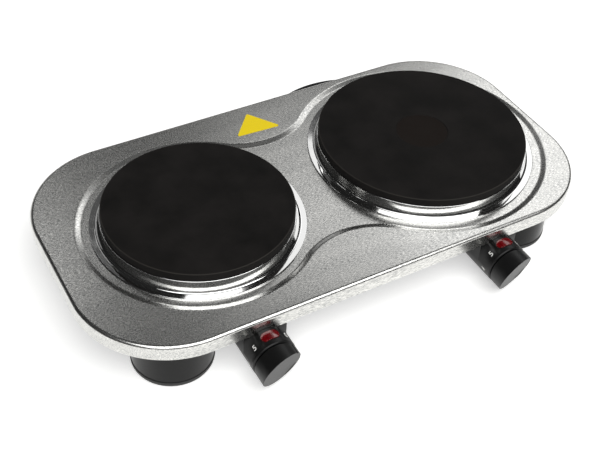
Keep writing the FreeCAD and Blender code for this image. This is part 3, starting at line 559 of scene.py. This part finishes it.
def finish_piece(bm, name, body, material, stands_for=()):
    """Makes the shape a shown piece that rides on its body and stands for its CAD nodes."""
    bmesh.ops.recalc_face_normals(bm, faces=bm.faces)
    mesh = bpy.data.meshes.new(name)
    bm.to_mesh(mesh)
    bm.free()
    if not mesh.polygons:
        raise RuntimeError(name + " came out empty")
    mesh.shade_smooth()
    mesh.set_sharp_from_angle(angle=CREASE)
    mesh.materials.append(material)
    piece = bpy.data.objects.new(name, mesh)
    bpy.context.scene.collection.objects.link(piece)
    weighting = piece.modifiers.new("Face weighting", "WEIGHTED_NORMAL")
    weighting.keep_sharp = True
    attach(piece, body)
    if stands_for:
        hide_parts(*stands_for)


# -------- tray
def sweep(bm, section, moves):
    """Carries an open chain along (centre, turn) arcs and (None, run) straights."""
    ends = section
    for centre, step in moves:
        if centre is None:
            made = bmesh.ops.extrude_edge_only(bm, edges=only(BMEdge, ends))["geom"]
            ends = [part for part in made if not isinstance(part, BMFace)]
            bmesh.ops.translate(bm, verts=only(BMVert, ends), vec=step)
        else:
            steps = max(2, round(abs(step) / ARC_STEP))
            ends = bmesh.ops.spin(bm, geom=ends, cent=centre, axis=(0, 0, 1), angle=step,
                                  steps=steps)["geom_last"]
    bmesh.ops.remove_doubles(bm, verts=bm.verts, dist=TINY)


def chain(bm, points):
    """Open chain of edges through the points."""
    verts = [bm.verts.new(point) for point in points]
    return verts + [bm.edges.new(pair) for pair in zip(verts, verts[1:])]


def open_edges(bm, height):
    """Edges at one height that still lack a face."""
    return [edge for edge in bm.edges if (edge.is_boundary or edge.is_wire)
            and all(abs(vert.co.z - height) < TINY for vert in edge.verts)]


def folded_rim(size, low, high, deck):
    """Round-cornered rim: a strip of deck, the fold, and the skirt down to its hem."""
    bm = bmesh.new()
    strip = size.fold + 0.4 * MM            # a little wider than the fold takes up
    long_run = high.x - low.x - 2 * size.corner
    short_run = high.y - low.y - 2 * size.corner
    start = Vector((low.x + size.corner, low.y, 0.0))
    section = chain(bm, [start + Vector((0, strip, deck)), start + Vector((0, 0, deck)),
                         start + Vector((0, 0, low.z))])
    right, front = high.x - size.corner, low.y + size.corner
    left, rear = low.x + size.corner, high.y - size.corner
    sweep(bm, section, [
        (None, (long_run, 0, 0)), (Vector((right, front, 0)), QUARTER),
        (None, (0, short_run, 0)), (Vector((right, rear, 0)), QUARTER),
        (None, (-long_run, 0, 0)), (Vector((left, rear, 0)), QUARTER),
        (None, (0, -short_run, 0)), (Vector((left, front, 0)), QUARTER)])
    crease = [edge for edge in bm.edges if edge.is_manifold
              and edge.calc_face_angle() > CREASE]
    soften(bm, crease, size.fold, FOLD_CUTS)
    return bm


def recess_step(bm, size, deck, left, right, left_radius, right_radius):
    """Sweeps the slanted step round both plates and the two waists; returns its bends.

    A waist's arc touches the arcs round both plates from outside, so its centre is found
    from the triangle that it makes with the plates' centres.
    """
    floor = deck - size.recess
    span = (right - left).length
    first, second = left_radius + size.waist, right_radius + size.waist
    along = (first ** 2 - second ** 2 + span ** 2) / (2 * span)
    aside = math.sqrt(first ** 2 - along ** 2)
    front_waist = left + Vector((along, -aside, 0))
    rear_waist = left + Vector((along, aside, 0))
    lean_left = math.atan2(aside, along)
    lean_right = math.atan2(aside, span - along)
    flat = size.step_round + 0.6 * MM       # a little wider than the bends take up
    heading = Vector((math.cos(lean_left), math.sin(lean_left), 0))
    points = [(-flat, floor), (0.0, floor), (size.slope, deck), (size.slope + flat, deck)]
    section = chain(bm, [left + heading * (left_radius + out) + Vector((0, 0, height))
                         for out, height in points])
    bend = lean_left + lean_right
    sweep(bm, section, [
        (left, 2 * math.pi - 2 * lean_left), (front_waist, bend - math.pi),
        (right, 2 * math.pi - 2 * lean_right), (rear_waist, bend - math.pi)])
    # The bends turn by the step's slant; the facets of its arcs turn far less.
    slant = math.atan2(size.recess, size.slope)
    return [edge for edge in bm.edges if edge.is_manifold
            and slant / 2 < edge.calc_face_angle() < slant * 3 / 2
            and abs(edge.verts[0].co.z - edge.verts[1].co.z) < TINY
            and min(abs(edge.verts[0].co.z - floor), abs(edge.verts[0].co.z - deck)) < TINY]


class HOTPLATE_OT_tray(bpy.types.Operator):
    """Press the brushed tray with its folded skirt and figure-of-eight recess"""
    bl_idname = "hotplate.tray"
    bl_label = "Tray"

    def execute(self, context):
        size = context.scene.hot_plate_tray
        low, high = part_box("top_cover")
        deck = high.z
        floor = deck - size.recess
        bm = folded_rim(size, low, high, deck)
        bends = recess_step(bm, size, deck, below("left_hotplate_casting"),
                            below("right_hotplate_casting"),
                            radius_of("left_spill_ring") + size.left_margin,
                            radius_of("right_spill_ring") + size.right_margin)
        soften(bm, bends, size.step_round, 4)
        for side in SIDES:
            plate = side + "_hotplate_casting"
            spot = below(plate) + Vector((0, 0, floor))
            bmesh.ops.create_circle(bm, cap_ends=False, segments=ROUND_STEPS,
                                    radius=radius_of(plate) - size.hole_inset,
                                    matrix=Matrix.Translation(spot))
        for height in (deck, floor):
            bmesh.ops.triangle_fill(bm, use_beauty=True, normal=(0, 0, 1),
                                    edges=open_edges(bm, height))
        bmesh.ops.recalc_face_normals(bm, faces=bm.faces)
        # The skin is still open, so its largest face, the deck, says which way is out.
        if max(bm.faces, key=lambda face: face.calc_area()).normal.z < 0:
            bmesh.ops.reverse_faces(bm, faces=bm.faces)
        bmesh.ops.solidify(bm, geom=bm.faces[:], thickness=size.sheet)
        finish_piece(bm, "brushed_tray", "chassis",
                     finish_of(brushed_stainless), ["top_cover"])
        return {"FINISHED"}


# -------- plates and rings
class HOTPLATE_OT_plates(bpy.types.Operator):
    """Turn the two cast heating plates"""
    bl_idname = "hotplate.plates"
    bl_label = "Heating plates"

    def execute(self, context):
        size = context.scene.hot_plate_plates
        for side in SIDES:
            node = side + "_hotplate_casting"
            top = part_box(node)[1].z
            radius = radius_of(node)
            rim_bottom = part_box(side + "_spill_ring")[1].z
            inner = radius - size.rim_wall
            under = top - size.slab
            dish = size.dish_radius if side == "right" else 0.0
            points = [(0.0, under), (inner, under), (inner, rim_bottom), (radius, rim_bottom),
                      (radius, top)]
            if dish:
                sunk = top - size.dish_depth
                points += [(dish, top), (dish - size.dish_depth, sunk), (0.0, sunk)]
            else:
                points += [(0.0, top)]
            bm = moved(turned(points, [(size.edge_round, [4])]), below(node))
            centre = below(node) + Vector((0, 0, top))
            finish_piece(bm, side + "_heating_plate", "chassis",
                         coated_cast_iron(side, centre, radius, dish), [node])
        return {"FINISHED"}


class HOTPLATE_OT_rings(bpy.types.Operator):
    """Press the two polished spill rings"""
    bl_idname = "hotplate.rings"
    bl_label = "Spill rings"

    def execute(self, context):
        size = context.scene.hot_plate_plates
        for side in SIDES:
            node = side + "_spill_ring"
            low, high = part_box(node)
            plate = radius_of(side + "_hotplate_casting")
            outer = radius_of(node)
            lean = size.left_lean if side == "left" else size.right_lean
            foot, head = plate + lean, plate + size.ring_gap
            seat, sheet = plate - size.ring_seat, size.ring_sheet
            gasket_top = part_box(side + "_ring_gasket")[1].z
            flange = gasket_top + sheet
            points = [(outer - sheet, low.z), (outer, low.z), (outer, flange), (foot, flange),
                      (head + sheet, high.z), (seat, high.z), (seat, high.z - sheet),
                      (head, high.z - sheet), (foot - sheet, gasket_top),
                      (outer - sheet, gasket_top)]
            bm = turned(points, [(size.bead, [2]), (size.foot_round, [3]),
                                 (size.head_round, [4])], steps=RING_STEPS)
            moved(bm, below(node))
            finish_piece(bm, side + "_polished_ring", "chassis",
                         finish_of(polished_chrome), [node])
        return {"FINISHED"}


# -------- dials
def bent_digit(text, height, radius, turn, place, proud):
    """A digit's mesh, wrapped round a barrel along Y at a turn clockwise from its top."""
    curve = bpy.data.curves.new("digit", "FONT")
    curve.body = text
    curve.size = height / DIGIT_FILL
    curve.extrude = proud
    curve.offset = 0.02 * height
    curve.resolution_u = 6
    source = bpy.data.objects.new("digit", curve)
    mesh = bpy.data.meshes.new_from_object(source)
    bpy.data.objects.remove(source)
    bm = bmesh.new()
    bm.from_mesh(mesh)
    bmesh.ops.remove_doubles(bm, verts=bm.verts, dist=TINY)
    across = [vert.co.x for vert in bm.verts]
    up = [vert.co.y for vert in bm.verts]
    mid = Vector(((min(across) + max(across)) / 2, (min(up) + max(up)) / 2, 0.0))
    for vert in bm.verts:
        spot = vert.co - mid
        angle = turn + spot.x / radius
        out = radius + spot.z
        vert.co = place + Vector((out * math.sin(angle), spot.y, out * math.cos(angle)))
    wrapped = bpy.data.meshes.new("digit")
    bm.to_mesh(wrapped)
    bm.free()
    return wrapped


class HOTPLATE_OT_housings(bpy.types.Operator):
    """Mould the control housings with their lenses, and print their scales"""
    bl_idname = "hotplate.housings"
    bl_label = "Control housings"

    def execute(self, context):
        size = context.scene.hot_plate_dials
        for side in SIDES:
            node = side + "_control_housing"
            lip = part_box(node)[0].y
            bm = merged_copy(node)
            front = lip + 1.5 * MM
            bore = 12.0 * MM                # edges nearer the axis belong to the bore
            soften(bm, sharp_edges(bm, lambda spot: spot.y < front
                                   and (spot - middle(node)).xz.length > bore),
                   size.lip, 2)
            finish_piece(bm, side + "_dial_housing", "chassis",
                         finish_of(satin_moulded_plastic), [node])
            lens = side + "_pilot_lens"
            bm = merged_copy(lens)
            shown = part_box(lens)[1].z - 2.2 * MM        # the lens shows above this height
            soften(bm, sharp_edges(bm, lambda spot: spot.z > shown), size.lens_round, 4)
            finish_piece(bm, side + "_lamp_lens", "chassis",
                         finish_of(red_polycarbonate), [lens])
            axis = middle(side + "_knob")
            place = Vector((axis.x, lip + size.digit_setback, axis.z))
            bm = bmesh.new()
            for number in range(size.digits):
                turn = size.pointer + number * size.scale_turn
                bm.from_mesh(bent_digit(str(number), size.digit_height, radius_of(node), turn,
                                        place, size.digit_relief))
            finish_piece(bm, side + "_dial_scale", "chassis", finish_of(pad_print))
        return {"FINISHED"}


def slanted_knob(size, radius):
    """Knob along +Z from its back at the origin, cut off slantwise, with a pointer groove.

    Its top faces +Y, and the right of someone in front of it is +X.
    """
    bm = bmesh.new()
    bmesh.ops.create_circle(bm, cap_ends=False, segments=KNOB_SIDES, radius=radius)
    half_side = math.pi / KNOB_SIDES
    bmesh.ops.rotate(bm, verts=bm.verts, matrix=Matrix.Rotation(half_side, 3, "Z"))
    # One side of the outline is pushed in for the pointer groove.
    aim = Vector((math.sin(size.pointer), math.cos(size.pointer), 0.0))
    notch = max(bm.edges, key=lambda edge: (edge.verts[0].co + edge.verts[1].co).dot(aim))
    inner = bmesh.ops.extrude_edge_only(bm, edges=[notch])["geom"]
    bmesh.ops.translate(bm, verts=only(BMVert, inner), vec=-aim * size.pointer_depth)
    bmesh.ops.delete(bm, geom=[notch], context="EDGES")
    back = bmesh.ops.edgeloop_fill(bm, edges=bm.edges[:])["faces"]
    body = bmesh.ops.extrude_face_region(bm, geom=back)["geom"]
    bmesh.ops.translate(bm, verts=only(BMVert, body), vec=(0, 0, size.reach + radius))
    # The cut end slopes back from the long side to the short one.
    high_side = Vector((-math.sin(size.long_side), math.cos(size.long_side), 0.0))
    on_axis = size.reach - radius * math.tan(size.slant)
    facing = Vector((0, 0, math.cos(size.slant))) - high_side * math.sin(size.slant)
    cut = bmesh.ops.bisect_plane(bm, geom=bm.verts[:] + bm.edges[:] + bm.faces[:], dist=TINY,
                                 plane_co=(0, 0, on_axis), plane_no=facing, clear_outer=True)
    rim = only(BMEdge, cut["geom_cut"])
    bmesh.ops.edgeloop_fill(bm, edges=rim)
    soften(bm, rim, size.end_round, 4)
    back = [face for face in bm.faces if all(abs(vert.co.z) < TINY for vert in face.verts)]
    soften(bm, [edge for face in back for edge in face.edges], size.back_round, 2)
    bmesh.ops.recalc_face_normals(bm, faces=bm.faces)
    # The bevel has replaced the back face: it is the large one lowest along the axis.
    back = [min(bm.faces, key=lambda face: face.calc_center_median().z - face.calc_area())]
    bmesh.ops.inset_region(bm, faces=back, thickness=size.wall, use_even_offset=True)
    well = bmesh.ops.extrude_face_region(bm, geom=back)["geom"]
    bmesh.ops.delete(bm, geom=back, context="FACES_ONLY")
    bmesh.ops.translate(bm, verts=only(BMVert, well), vec=(0, 0, on_axis / 2))
    return bm


class HOTPLATE_OT_knobs(bpy.types.Operator):
    """Mould the two slant-ended knobs"""
    bl_idname = "hotplate.knobs"
    bl_label = "Knobs"

    def execute(self, context):
        size = context.scene.hot_plate_dials
        for side in SIDES:
            node = side + "_knob"
            axis = middle(node)
            bm = slanted_knob(size, radius_of(node))
            moved(bm, (axis.x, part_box(node)[1].y, axis.z), FORWARD)
            finish_piece(bm, side + "_slanted_knob", side + "_dial",
                         finish_of(satin_moulded_plastic), [node])
        return {"FINISHED"}


# -------- feet and rear housing
class HOTPLATE_OT_feet(bpy.types.Operator):
    """Mould the four feet and their rubber pads"""
    bl_idname = "hotplate.feet"
    bl_label = "Feet"

    def execute(self, context):
        size = context.scene.hot_plate_body
        for name in FEET:
            drum, pad = name + "_foot", name + "_foot_pad"
            low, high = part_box(drum)
            pad_low, pad_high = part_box(pad)
            foot = radius_of(drum)
            roof = high.z - size.foot_roof
            points = [(0.0, high.z), (size.foot_top, high.z), (foot, low.z),
                      (foot - size.foot_wall, low.z), (size.foot_top - size.foot_wall, roof),
                      (0.0, roof)]
            bm = moved(turned(points, [(size.foot_round, [2])]), below(drum))
            finish_piece(bm, name + "_drum", "chassis",
                         finish_of(glossy_moulded_plastic), [drum])
            reach = radius_of(pad)
            spigot = foot - size.foot_wall - size.pad_gap
            points = [(size.pad_bore, pad_low.z), (reach, pad_low.z), (reach, low.z),
                      (spigot, low.z), (spigot, pad_high.z), (size.pad_bore, pad_high.z)]
            bm = moved(turned(points, [(size.pad_round, [1]), (size.pad_edge, [2])]),
                       below(drum))
            finish_piece(bm, name + "_rubber_pad", "chassis",
                         finish_of(moulded_rubber), [pad])
        return {"FINISHED"}


class HOTPLATE_OT_rear(bpy.types.Operator):
    """Mould the rear terminal housing and its cord gland"""
    bl_idname = "hotplate.rear"
    bl_label = "Rear housing"

    def execute(self, context):
        size = context.scene.hot_plate_body
        node = "rear_terminal_housing"
        low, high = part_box(node)
        bm = merged_copy(node)
        centre, half_width = middle(node), radius_of(node)
        near = 0.1 * MM
        bow, brow = 12.0 * MM, 1.2 * MM         # how far the bowed upper edge reaches

        def outside(spot):
            at_end = abs(spot.x - centre.x) > half_width - near
            at_base = spot.z < low.z + near
            bowed = spot.y > high.y - bow and spot.z > high.z - brow
            return at_end or at_base or bowed

        soften(bm, sharp_edges(bm, outside), size.box_round)
        finish_piece(bm, "rear_terminal_box", "chassis",
                     finish_of(satin_moulded_plastic), [node])
        low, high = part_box("cord_gland")
        flange = radius_of("cord_gland")
        face = high.y - low.y
        shoulder = face - size.gland_flange
        points = [(size.gland_bore, 0.0), (size.gland_neck, 0.0), (size.gland_neck, shoulder),
                  (flange, shoulder), (flange, face), (size.gland_bore, face)]
        bm = turned(points, [(size.gland_round, [4]), (size.gland_mouth, [5])],
                    steps=GLAND_STEPS)
        moved(bm, ((low.x + high.x) / 2, low.y, (low.z + high.z) / 2), BACKWARD)
        finish_piece(bm, "rear_cord_gland", "chassis", finish_of(moulded_rubber),
                     ["cord_gland"])
        return {"FINISHED"}


# -------- carried nodes
class HOTPLATE_OT_carried(bpy.types.Operator):
    """Give the parts that keep their CAD shape their finishes"""
    bl_idname = "hotplate.carried"
    bl_label = "Carried parts"

    def execute(self, context):
        for part in frame["record"]["subparts"]:
            node = frame["nodes"].get(part["node"])
            if node is None or node.hide_render:
                continue
            maker = SLOT_MATERIALS[part["material_slot"]]
            node.data.materials.clear()
            node.data.materials.append(finish_of(maker))
        return {"FINISHED"}


# -------- stage
def aimed(place, target, roll=0.0):
    """Matrix of something at place that looks down its -Z at target."""
    back = (Vector(place) - Vector(target)).normalized()
    across = Vector((0, 0, 1)).cross(back).normalized()
    up = back.cross(across)
    turned_across = math.cos(roll) * across + math.sin(roll) * up
    turned_up = math.cos(roll) * up - math.sin(roll) * across
    turn = Matrix((turned_across, turned_up, back)).transposed().to_4x4()
    return Matrix.Translation(place) @ turn


def softbox(name, turn, tilt, across, up, brightness):
    """Far rectangular light aimed at the origin.

    Its direction (turn from +X towards +Y, tilt up from the floor) and its apparent width
    and height are in degrees, so its reflection stays put when its distance changes.
    """
    away = bpy.context.scene.hot_plate_stage.lights_away
    turn, tilt = math.radians(turn), math.radians(tilt)
    width, height = (2 * away * math.tan(math.radians(span) / 2) for span in (across, up))
    light = bpy.data.lights.new(name, "AREA")
    light.shape = "RECTANGLE"
    light.size = width
    light.size_y = height
    light.energy = brightness * math.pi * width * height
    box = bpy.data.objects.new(name, light)
    box.matrix_world = aimed((away * math.cos(tilt) * math.cos(turn),
                              away * math.cos(tilt) * math.sin(turn), away * math.sin(tilt)),
                             (0.0, 0.0, 0.0))
    bpy.context.scene.collection.objects.link(box)


class HOTPLATE_OT_stage(bpy.types.Operator):
    """Set the pale floor, the soft lights and the camera"""
    bl_idname = "hotplate.stage"
    bl_label = "Stage"

    def execute(self, context):
        stage = context.scene.hot_plate_stage
        scene = context.scene
        bm = bmesh.new()
        bmesh.ops.create_grid(bm, x_segments=2, y_segments=2, size=stage.floor / 2)
        mesh = bpy.data.meshes.new("studio_floor")
        bm.to_mesh(mesh)
        bm.free()
        paper = new_material("matt_paper_floor", {
            "Base Color": linear("#f4f4f2"), "Roughness": 0.9, "Specular IOR Level": 0.1,
            "Emission Color": linear("#ffffff"), "Emission Strength": stage.glow})[0]
        mesh.materials.append(paper)
        floor = bpy.data.objects.new("studio_floor", mesh)
        floor.location.z = -0.2 * MM            # clear of the pads that stand on it
        scene.collection.objects.link(floor)
        softbox("overhead", turn=-95.0, tilt=60.0, across=66.0, up=50.0,
                brightness=stage.key)
        softbox("right_side", turn=26.0, tilt=39.0, across=34.0, up=18.0,
                brightness=stage.side)
        softbox("right_edge", turn=46.5, tilt=39.0, across=8.0, up=10.0,
                brightness=stage.side * 0.55)
        softbox("rear_middle", turn=58.0, tilt=43.5, across=9.0, up=10.0,
                brightness=stage.side * 0.7)
        softbox("rear_left", turn=82.0, tilt=46.0, across=4.5, up=5.5,
                brightness=stage.side * 1.5)
        softbox("low_wall", turn=85.0, tilt=12.0, across=100.0, up=16.0,
                brightness=stage.side * 0.35)
        softbox("dim_wall", turn=72.0, tilt=44.0, across=40.0, up=24.0,
                brightness=stage.fill)
        world = bpy.data.worlds.new("studio")
        world.use_nodes = True
        background = world.node_tree.nodes["Background"]
        background.inputs["Color"].default_value = linear("#ffffff")
        background.inputs["Strength"].default_value = stage.surround
        scene.world = world
        scene.view_settings.view_transform = "Standard"
        camera = bpy.data.objects.new("camera", bpy.data.cameras.new("camera"))
        camera.data.lens = stage.lens
        camera.data.sensor_width = 36.0
        camera.data.clip_start = 0.01
        camera.matrix_world = aimed(stage.camera, stage.target, stage.roll)
        scene.collection.objects.link(camera)
        scene.camera = camera
        return {"FINISHED"}


# -------- add-on
OPERATORS = (HOTPLATE_OT_tray, HOTPLATE_OT_plates, HOTPLATE_OT_rings, HOTPLATE_OT_housings,
             HOTPLATE_OT_knobs, HOTPLATE_OT_feet, HOTPLATE_OT_rear, HOTPLATE_OT_carried,
             HOTPLATE_OT_stage)
SETTINGS = {
    "hot_plate_tray": HotPlateTraySettings,
    "hot_plate_plates": HotPlatePlateSettings,
    "hot_plate_dials": HotPlateDialSettings,
    "hot_plate_body": HotPlateBodySettings,
    "hot_plate_colours": HotPlateColourSettings,
    "hot_plate_stage": HotPlateStageSettings,
}


class HOTPLATE_PT_builder(bpy.types.Panel):
    """Sidebar panel with the build steps and their settings"""
    bl_idname = "HOTPLATE_PT_builder"
    bl_label = "Hot plate"
    bl_space_type = "VIEW_3D"
    bl_region_type = "UI"
    bl_category = "Hot plate"

    def draw(self, context):
        for operator in OPERATORS:
            self.layout.operator(operator.bl_idname)
        for name, group in SETTINGS.items():
            settings = getattr(context.scene, name)
            box = self.layout.box()
            for field in group.__annotations__:
                box.prop(settings, field)


def register():
    for name, group in SETTINGS.items():
        bpy.utils.register_class(group)
        setattr(bpy.types.Scene, name, PointerProperty(type=group))
    for kind in OPERATORS + (HOTPLATE_PT_builder,):
        bpy.utils.register_class(kind)


def unregister():
    for kind in reversed(OPERATORS + (HOTPLATE_PT_builder,)):
        bpy.utils.unregister_class(kind)
    for name, group in SETTINGS.items():
        delattr(bpy.types.Scene, name)
        bpy.utils.unregister_class(group)


def main():
    register()
    bpy.ops.hotplate.tray()
    bpy.ops.hotplate.plates()
    bpy.ops.hotplate.rings()
    bpy.ops.hotplate.housings()
    bpy.ops.hotplate.knobs()
    bpy.ops.hotplate.feet()
    bpy.ops.hotplate.rear()
    bpy.ops.hotplate.carried()
    bpy.ops.hotplate.stage()


if __name__ == "__main__":
    main()
